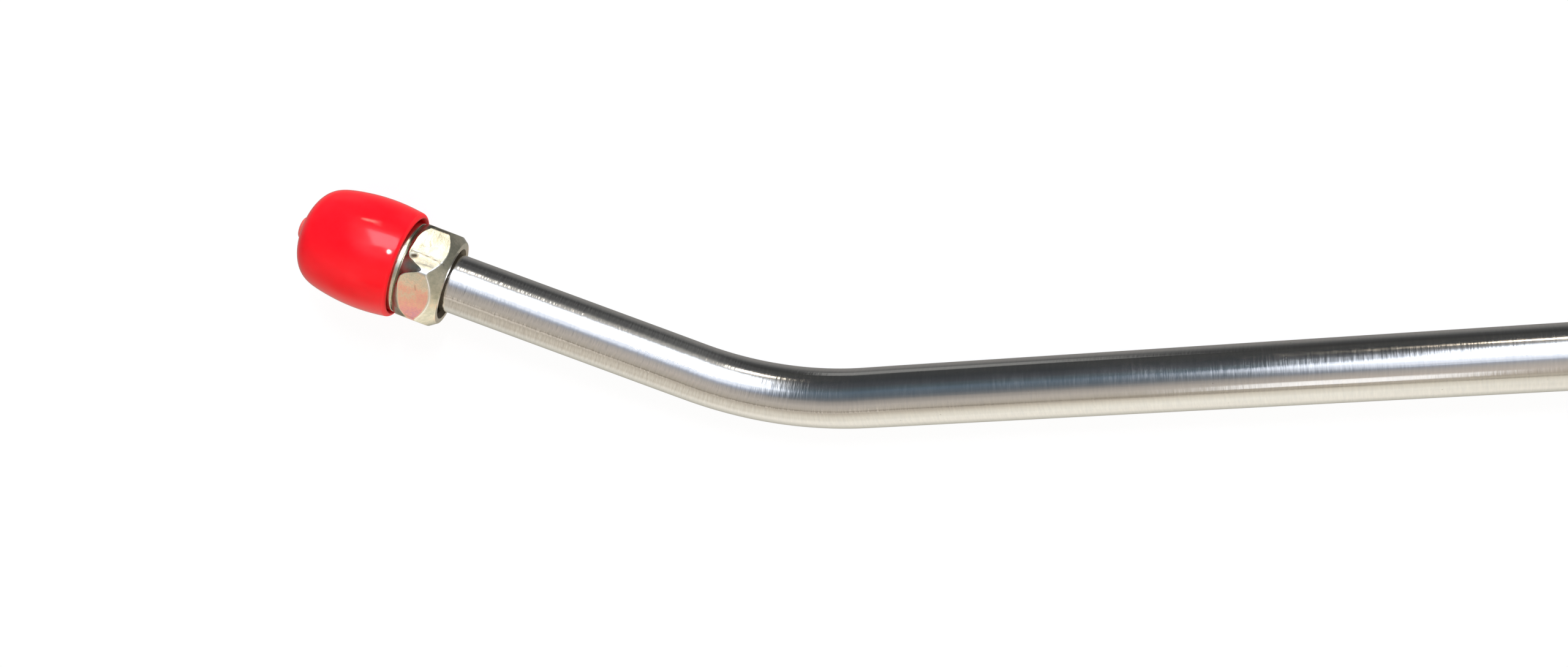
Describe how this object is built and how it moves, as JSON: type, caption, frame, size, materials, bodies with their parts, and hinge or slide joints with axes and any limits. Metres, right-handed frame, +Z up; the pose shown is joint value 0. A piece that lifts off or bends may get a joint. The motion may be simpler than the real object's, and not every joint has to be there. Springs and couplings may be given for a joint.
{
  "type": "hard fluid line",
  "caption": "Pre-bent bright stainless fluid line, flared at both ends, with a captive male tube nut at each end and a red slip-on vinyl cap over the short end's thread.",
  "frame": {"origin": "under the middle of the bounding box, on the surface that the line lies on", "axes": "+X along the long leg towards its bare end, +Y towards the side that the short leg bends to, +Z up"},
  "size_m": [0.2099, 0.0446, 0.0155],
  "materials": {
    "stainless": "bright drawn and polished round the tube",
    "yellow_zinc": "zinc plated with yellow chromate",
    "red_vinyl": "glossy dip-moulded vinyl"
  },
  "bodies": {
    "tube": {"line_tube": "stainless"},
    "near_nut": {"near_tube_nut": "yellow_zinc"},
    "cap": {"thread_cap": "red_vinyl"},
    "far_nut": {"far_tube_nut": "yellow_zinc"}
  },
  "joints": [
    {"name": "near_nut_turn", "type": "hinge", "parent": "tube", "child": "near_nut", "pos_m": [-0.08785, 0.00925, 0.00719], "axis": [-0.8675, 0.4926, 0.0691], "continuous": true},
    {"name": "cap_pull", "type": "slide", "parent": "near_nut", "child": "cap", "axis": [-0.8675, 0.4926, 0.0691], "range_m": [0, 0.03]},
    {"name": "far_nut_slide", "type": "slide", "parent": "tube", "child": "far_nut", "axis": [-0.9998, 0, -0.0193], "range_m": [0, 0.118]}
  ]
}
